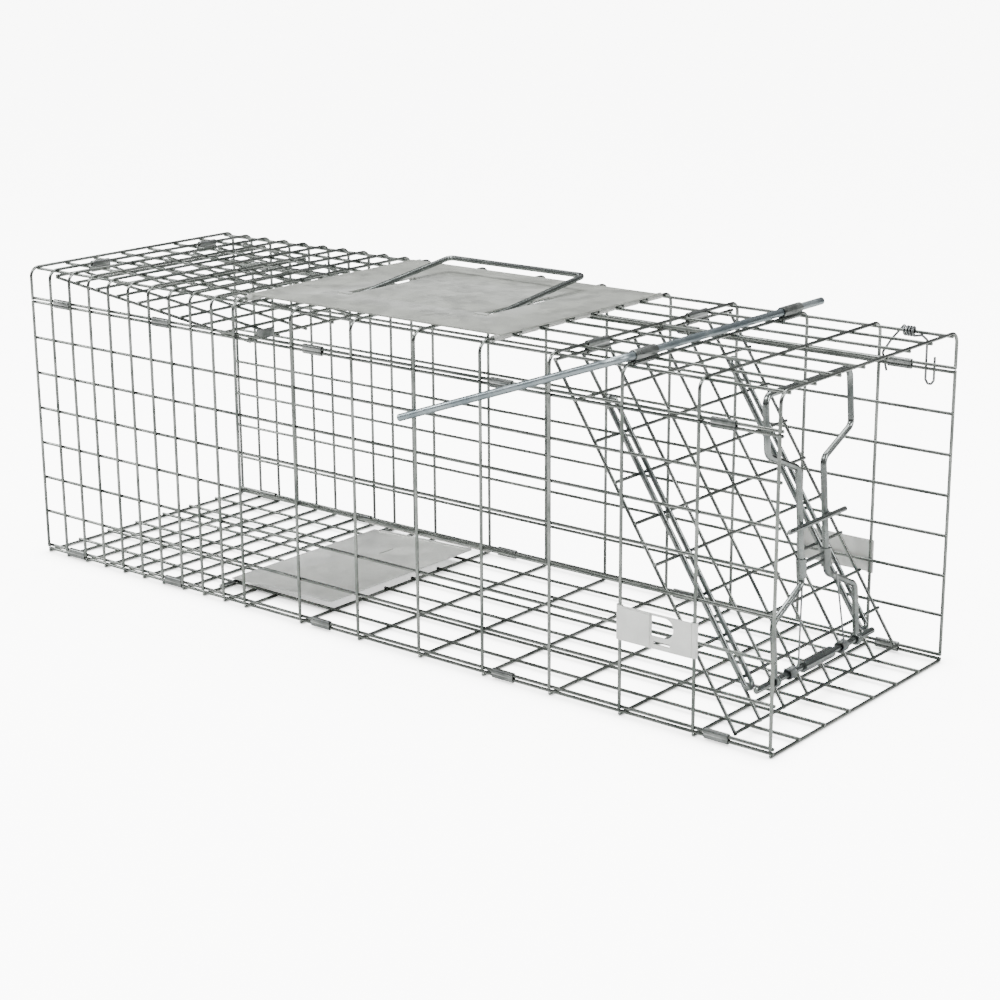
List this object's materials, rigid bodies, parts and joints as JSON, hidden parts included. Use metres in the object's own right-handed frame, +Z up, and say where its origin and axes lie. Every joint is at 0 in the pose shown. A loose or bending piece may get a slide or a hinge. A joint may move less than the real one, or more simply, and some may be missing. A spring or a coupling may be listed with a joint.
{
  "type": "live catch trap",
  "caption": "Long welded wire mesh cage trap with a sloping front door, fold-down lock frame, top trip lever, carry handle, rear flap and floor treadle.",
  "frame": {"origin": "centre of the cage's footprint on the floor, under the middle of the mesh box", "axes": "+X toward the sloping front door, -Y the side with the lever arm, +Z up"},
  "size_m": [0.7656, 0.274, 0.2744],
  "materials": {
    "mesh_wire": "galvanised welded wire",
    "sheet_clip": "galvanised sheet",
    "sheet_plate": "galvanised sheet with faint spangle",
    "heavy_wire": "zinc plated rod",
    "lever_rod": "blue-grey plated rod",
    "spring_wire": "spring wire",
    "pale_rod": "pale plated rod"
  },
  "bodies": {
    "cage": {"roof_panel": "mesh_wire", "near_side_panel": "mesh_wire", "far_side_panel": "mesh_wire", "floor_panel": "mesh_wire", "near_roof_sleeves": "sheet_clip", "far_roof_sleeves": "sheet_clip", "near_floor_sleeves": "sheet_clip", "far_floor_sleeves": "sheet_clip", "rear_hinge_sleeves": "sheet_clip", "door_hinge_sleeves": "sheet_clip", "lever_sleeves": "sheet_clip", "near_lock_bracket": "sheet_plate", "far_lock_bracket": "sheet_plate", "handle_plate": "sheet_plate", "treadle_rod": "heavy_wire", "far_edge_rod": "pale_rod"},
    "rear_flap": {"rear_panel": "mesh_wire", "rear_panel_clip": "sheet_clip"},
    "door": {"front_door": "mesh_wire", "near_door_rail": "heavy_wire", "far_door_rail": "heavy_wire", "lock_pivot_rod": "heavy_wire", "lock_pivot_tube": "heavy_wire"},
    "lock": {"lock_frame": "heavy_wire", "lock_tie_bar": "heavy_wire", "lock_cross_bar": "heavy_wire", "near_lock_spring": "spring_wire", "far_lock_spring": "spring_wire"},
    "lever": {"trip_lever": "lever_rod"},
    "handle": {"carry_handle": "heavy_wire"},
    "treadle": {"treadle_pan": "sheet_plate"},
    "hook": {"spring_hook": "spring_wire"}
  },
  "joints": [
    {"name": "door_hinge", "type": "hinge", "parent": "cage", "child": "door", "pos_m": [0.189, 0, 0.2526], "axis": [0, -1, 0], "range_deg": [0, 32]},
    {"name": "lock_hinge", "type": "hinge", "parent": "door", "child": "lock", "pos_m": [0.34343, 0, 0.02857], "axis": [0, -1, 0], "range_deg": [0, 29.52]},
    {"name": "rear_panel_hinge", "type": "hinge", "parent": "cage", "child": "rear_flap", "pos_m": [-0.356, 0, 0.2526], "axis": [0, 1, 0], "range_deg": [0, 83]},
    {"name": "lever_pivot", "type": "hinge", "parent": "cage", "child": "lever", "pos_m": [0.253, 0, 0.2632], "axis": [0, 1, 0], "range_deg": [-65, 90]},
    {"name": "handle_pivot", "type": "hinge", "parent": "cage", "child": "handle", "pos_m": [0, -0.04, 0.2569], "axis": [1, 0, 0], "range_deg": [0, 95]},
    {"name": "treadle_pivot", "type": "hinge", "parent": "cage", "child": "treadle", "pos_m": [-0.176, 0, 0.00575], "axis": [0, 1, 0], "range_deg": [0, 3], "stiffness_Nm_per_rad": 0.5, "springref_deg": -22.92},
    {"name": "hook_pivot", "type": "hinge", "parent": "cage", "child": "hook", "pos_m": [0.347, 0.112, 0.2562], "axis": [1, 0, 0], "range_deg": [0, 70]}
  ],
  "couplings": [
    {"joint": "lock_hinge", "follows": "door_hinge", "ratio": 0.92188}
  ]
}
